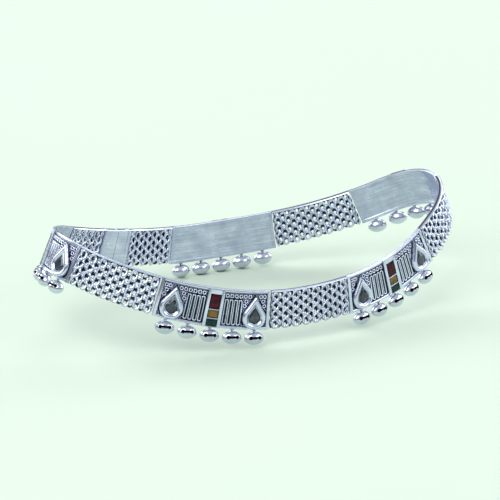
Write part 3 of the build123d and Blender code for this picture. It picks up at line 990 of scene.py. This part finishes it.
def satin_group():
    """Brushed satin on the side that lies on the skin, 0 on the side that shows."""
    tree = mask_tree("satin_back", "Mask", "Along", "Across", "Clouds")
    place = tree.kept_place("band_place")
    brushed = tree.noise(tree.product(place, tree.vector(tree["Along"], tree["Across"], 1.0)), 1.0, detail=4.0)
    cloudy = tree.noise(place, tree["Clouds"], detail=4.0)
    satin = tree.ramp(tree.plus(brushed, cloudy), low=0.70, high=1.30, start=0.10, end=1.0)
    behind = tree.ramp(tree.parts(place)[2], low=-0.30 * MM, high=-0.20 * MM, start=1.0, end=0.0)
    return tree.finish(tree.times(satin, behind))


def hollow_shade_group():
    """Painted shade: 1 on the inner wall of a bell, 0 on its outside."""
    tree = mask_tree("hollow", "Mask", "Length", "Height")
    across = tree.over(2.0, tree["Height"])
    share = tree.product(tree.kept_place("bell_place"), tree.vector(tree.over(2.0, tree["Length"]), across, across))
    reach = tree.add("ShaderNodeVectorMath", {0: share}, operation="LENGTH").outputs["Value"]
    return tree.finish(tree.ramp(reach, low=0.88, high=0.92, start=1.0, end=0.0))


def cloud_group():
    """A soft drift of tone."""
    tree = mask_tree("cloud", "Cloud", "Size", "Detail")
    return tree.finish(tree.noise(tree.object_place(), tree["Size"], tree["Detail"]))


class Finish(Nodes):
    """A material with one Principled shader."""

    def __init__(self, name, **constants):
        self.material = bpy.data.materials.new(name)
        self.material.use_nodes = True
        super().__init__(self.material.node_tree)
        self.tree.nodes.clear()
        self.principled = self.add("ShaderNodeBsdfPrincipled")
        self.add("ShaderNodeOutputMaterial", {0: self.principled.outputs[0]})
        for label, value in constants.items():
            self.set(label.replace("_", " "), value)

    def set(self, label, value):
        self.fill(self.principled.inputs[label], value)

    def group(self, effect, **values):
        """Places a shared effect with this finish's own values."""
        wires = {as_label(name): value for name, value in values.items()}
        return self.shader("Group", wires, node_tree=effects[effect])

    def bump(self, height, strength, distance):
        self.set("Normal", self.shader("Bump", {"Height": height, "Strength": strength, "Distance": distance}))


def silver_finish(
        name, bright, dull, oxide_and_shade_tone, reach, patches, lines, waves, dent, strength=1.0, polish=0.16, shade_or_oxide_effect=None,
        satin=None):
    """Silver with dulled patches, darkening in its crevices that is partly oxidised silver and partly painted
    shade, and fine polishing lines.

    shut and satin are the effects that keep parts of a piece dark or matt; shut paints shade into recesses or a
    bell's hollow, partly as oxidised silver.
    """
    finish = Finish(name, Metallic=1.0)
    patch = finish.group("tarnish", size=patches, amount=0.55)
    if satin:
        patch = finish.math("MAXIMUM", patch, finish.group(**satin))
    # Painted shade, partly oxidised silver: crevices found by ambient occlusion, and the parts the extra effect
    # keeps dark, are blended to the dark tone.
    crevice = finish.group("crevice", reach=reach, strength=strength)
    if shade_or_oxide_effect:
        crevice = finish.math("MAXIMUM", crevice, finish.group(**shade_or_oxide_effect))
    finish.set("Base Color", finish.blend(crevice, finish.blend(patch, bright, dull), oxide_and_shade_tone))
    dulled_or_shaded = finish.math("MAXIMUM", patch, crevice)
    finish.set("Roughness", finish.ramp(dulled_or_shaded, 0.0, 1.0, start=polish, end=polish + WORN_ROUGHER))
    finish.bump(finish.group("scratches", lines=lines, waves=waves), strength=1.0, distance=dent)
    return finish.material


def clouded_finish(name, tones, size, detail, spread, roughness, bump=0.0, **constants):
    """Stone, enamel or ground, whose tone and roughness drift with one cloud."""
    finish = Finish(name, Metallic=0.0, **constants)
    cloud = finish.group("cloud", size=size, detail=detail)
    finish.set("Base Color", finish.blend(finish.ramp(cloud, *spread), *tones))
    finish.set("Roughness", finish.ramp(cloud, *ROUGHNESS_SPREAD, *roughness))
    if bump:
        finish.bump(cloud, strength=bump, distance=0.02 * MM)
    return finish.material


guide = band_guide()
effects = {
    "tarnish": tarnish_group(), "crevice": crevice_oxide_and_shade_group(), "recess": recess_oxide_and_shade_group(), "scratches": scratch_group(),
    "satin": satin_group(), "hollow": hollow_shade_group(), "cloud": cloud_group(),
}
trees = {
    "piece": band_piece_tree(), "wires": raised_wire_tree(), "grains": grain_tree(), "weave": woven_mesh_tree(),
    "bells": hung_bells_tree(),
}

WORN_ROUGHER = 0.28
ROUGHNESS_SPREAD = (0.3, 0.7)
SATIN_BACK = {"effect": "satin", "along": 90.0, "across": 3000.0, "clouds": 260.0}
# The panel's ground between the raised work is painted dark: painted shade together with oxidised silver.
panel_silver = silver_finish(
    "polished_silver", bright=(0.71, 0.75, 0.93), dull=(0.43, 0.47, 0.61), oxide_and_shade_tone=(0.024, 0.030, 0.044),
    reach=0.45 * MM, patches=180.0, lines=4000.0, waves=350.0, dent=0.03 * MM, satin=SATIN_BACK,
    shade_or_oxide_effect=dict(effect="recess", middle=-0.05 * MM, dark_within=0.08 * MM, bright_beyond=0.24 * MM, front_only=1.0))
# The woven mesh is painted dark near its middle plane: painted shade, partly oxidised silver, on the inner sides of
# both layers of links, which show through the holes.
mesh_silver = silver_finish(
    "woven_silver", bright=(0.72, 0.765, 0.97), dull=(0.46, 0.50, 0.66), oxide_and_shade_tone=(0.040, 0.050, 0.070),
    reach=0.60 * MM, strength=0.85, patches=120.0, lines=5000.0, waves=500.0, dent=0.02 * MM,
    shade_or_oxide_effect=dict(effect="recess", middle=LINKS_OUT, dark_within=0.20 * MM, bright_beyond=0.46 * MM, front_only=0.0))
# Each bell's inner wall is painted dark by the hollow effect: painted shade inside the hollow.
bell_silver = silver_finish(
    "bell_silver", bright=(0.62, 0.66, 0.77), dull=(0.42, 0.45, 0.55), oxide_and_shade_tone=(0.012, 0.016, 0.024),
    reach=0.60 * MM, strength=0.9, polish=0.15, patches=220.0, lines=3000.0, waves=260.0, dent=0.04 * MM,
    shade_or_oxide_effect=dict(effect="hollow", length=BELL_LENGTH, height=BELL_HEIGHT))
clasp_silver = silver_finish(
    "clasp_silver", bright=(0.75, 0.79, 0.97), dull=(0.48, 0.52, 0.67), oxide_and_shade_tone=(0.020, 0.026, 0.036),
    reach=0.50 * MM, polish=0.18, patches=150.0, lines=2500.0, waves=200.0, dent=0.03 * MM, satin=SATIN_BACK)
smoky_stone = clouded_finish(
    "smoky_stone", [(0.009, 0.014, 0.024), (0.05, 0.075, 0.11)], size=500.0, detail=5.0, spread=(0.40, 0.68),
    roughness=(0.03, 0.12), Coat_Weight=0.2, Coat_Roughness=0.03, IOR=1.6)
# deep and light tone of each enamel
ENAMELS = {
    "enamel_red": ((0.020, 0.001, 0.007), (0.078, 0.003, 0.014)),
    "enamel_gold": ((0.115, 0.066, 0.017), (0.240, 0.155, 0.055)),
    "enamel_green": ((0.004, 0.018, 0.019), (0.010, 0.047, 0.046)),
}


# --- Pieces ---
def piece(name, tree, mesh, finish, slot, nodes, **values):
    """Lays a flat mesh on the band with a tree, as the piece that stands for some CAD nodes."""
    made = from_tree(name, trees[tree], mesh, material=finish, guide=guide, perimeter=PERIMETER, **values)
    thing = link_to_scene(name, made)
    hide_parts(*nodes)
    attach(thing, "root")


half_panel = PANEL_LENGTH / 2
centres = [FIRST_PANEL + PANEL_PITCH * i for i in range(PANEL_COUNT)]
clasp_centre = (centres[-1] + centres[0] + PERIMETER) / 2

panel_shape = flat_panel()
for number, centre in enumerate(centres, 1):
    nodes = [f"panel_{number}"]
    piece(f"panel_work_{number}", "piece", panel_shape.copy(), panel_silver, "silver", nodes, centre=centre)

ends = [(centre + half_panel, following - half_panel) for centre, following in zip(centres, centres[1:])]
ends.append((centres[-1] + half_panel, clasp_centre - CLASP_LENGTH / 2))
ends.append((clasp_centre + CLASP_LENGTH / 2, centres[0] + PERIMETER - half_panel))
for number, (start, end) in enumerate(ends, 1):
    start, end = start + SEAM, end - SEAM
    columns = round((end - start) / LINK_PITCH)
    strip, nodes = capping_strip(start, end), [f"mesh_band_{number}"]
    piece(f"woven_band_{number}", "weave", strip, mesh_silver, "silver_mesh", nodes, start=start, columns=columns,
          pitch=(end - start) / columns, seed=number, **WEAVE)

piece("box_clasp", "piece", flat_clasp(), clasp_silver, "silver", ["clasp"], centre=clasp_centre)

stones = bmesh.new()
for centre in centres:
    for side in (-1, 1):
        cut_stone(stones, centre + side * PEAR_OFFSET)
stones = plain_mesh("cut_stones", turned_out(stones))
nodes = [f"pear_stone_{number}{side}" for number in range(1, PANEL_COUNT + 1) for side in "ab"]
piece("cut_stones", "piece", stones, smoky_stone, "smoky_stone", nodes, centre=0.0)

for node, top, tall in TILES:
    enamel = clouded_finish(
        node, ENAMELS[node], size=900.0, detail=4.0, spread=(0.35, 0.70), roughness=(0.10, 0.24), bump=0.6,
        Coat_Weight=0.05, Coat_Roughness=0.06, IOR=1.28)
    piece(f"{node}_tiles", "piece", enamel_pillow(centres, top, tall), enamel, node, [node], centre=0.0)

one_bell = bell()
for number, centre in enumerate(centres, 1):
    nodes = [f"bell_{number}_{place}" for place in range(1, BELL_COUNT + 1)]
    piece(f"bells_{number}", "bells", one_bell.copy(), bell_silver, "silver_bell", nodes,
          first=centre + BELL_OFFSETS[0], pitch=BELL_PITCH, count=BELL_COUNT, plumb=BELL_PLUMB,
          eye_up=-BAND_HEIGHT / 2 - EYE_DROP, eye_out=BELL_OUT, drop=BELL_GAP - EYE_DROP + BELL_HEIGHT / 2)

bpy.data.objects.remove(guide)

# --- Floor, light and camera ---
FLOOR_RADIUS = 4.0
FLOOR_SIDES = 64
FLOOR_TONES = ((0.555, 0.655, 0.55), (0.575, 0.675, 0.57))
CAMERA_TURN = -24.9
CAMERA_RISE = 19.0
CAMERA_ROLL = 0.9
CAMERA_DISTANCE = 1.30
CAMERA_LENS = 355.0
CAMERA_CLIP = (0.05, 20.0)
TARGET = Vector((0.0, 0.0, -0.001))
SKY_LOW, SKY_HIGH = (0.05, 0.06, 0.08), (0.92, 0.97, 1.0)
SKY_RISE = (0.03, 0.55)
SKY_STRENGTH = 0.70
WHITE, COOL_WHITE = (1.0, 1.0, 1.0), (0.92, 0.96, 1.0)
# name, turn from the camera's, rise, distance, size, power, colour
LIGHTS = [
    ("key", -38.0, 46.0, 0.83, 0.62, 3.3, WHITE),
    ("fill", 66.0, 26.0, 0.78, 0.50, 1.6, COOL_WHITE),
    ("left", -118.0, 24.0, 0.85, 0.60, 3.8, WHITE),
    ("right", 118.0, 24.0, 0.85, 0.70, 4.0, WHITE),
    ("back", 178.0, 39.0, 0.72, 0.40, 0.8, WHITE),
]


def floor(level):
    bm = bmesh.new()
    place = Matrix.Translation((0, 0, level))
    bmesh.ops.create_circle(bm, cap_ends=True, segments=FLOOR_SIDES, radius=FLOOR_RADIUS, matrix=place)
    mesh = plain_mesh("floor", bm)
    mesh.materials.append(clouded_finish(
        "pale_floor", FLOOR_TONES, size=4.0, detail=3.0, spread=(0.35, 0.7), roughness=(0.75, 0.9)))
    link_to_scene("floor", mesh)


def studio_world():
    """Bright overhead and darker towards the horizon, for polished silver to mirror."""
    world = bpy.data.worlds.new("studio")
    world.use_nodes = True
    nodes = Nodes(world.node_tree)
    nodes.tree.nodes.clear()
    up = nodes.parts(nodes.add("ShaderNodeTexCoord").outputs["Generated"])[2]
    colour = nodes.blend(nodes.ramp(up, *SKY_RISE), SKY_LOW, SKY_HIGH)
    background = nodes.shader("Background", {"Color": colour, "Strength": SKY_STRENGTH})
    nodes.add("ShaderNodeOutputWorld", {0: background})
    bpy.context.scene.world = world


def aimed(name, data, turn, rise, distance, roll=0.0):
    """Puts a light or camera at a place turned from the front and raised, aimed at the target."""
    thing = link_to_scene(name, data)
    turn, rise = radians(turn), radians(rise)
    away = Vector((sin(turn) * cos(rise), -cos(turn) * cos(rise), sin(rise)))
    thing.location = TARGET + away * distance
    rolled = (-away).to_track_quat("-Z", "Y") @ Quaternion((0.0, 0.0, 1.0), -radians(roll))
    thing.rotation_euler = rolled.to_euler()
    return thing


floor(cad_box[0][2])
studio_world()
for name, turn, rise, distance, size, power, colour in LIGHTS:
    light = bpy.data.lights.new(name, "AREA")
    light.shape, light.size, light.energy, light.color = "DISK", size, power, colour
    aimed(name, light, CAMERA_TURN + turn, rise, distance)

camera = bpy.data.cameras.new("camera")
camera.lens, (camera.clip_start, camera.clip_end) = CAMERA_LENS, CAMERA_CLIP
scene = bpy.context.scene
scene.camera = aimed("camera", camera, CAMERA_TURN, CAMERA_RISE, CAMERA_DISTANCE, CAMERA_ROLL)
scene.view_settings.view_transform = "Standard"
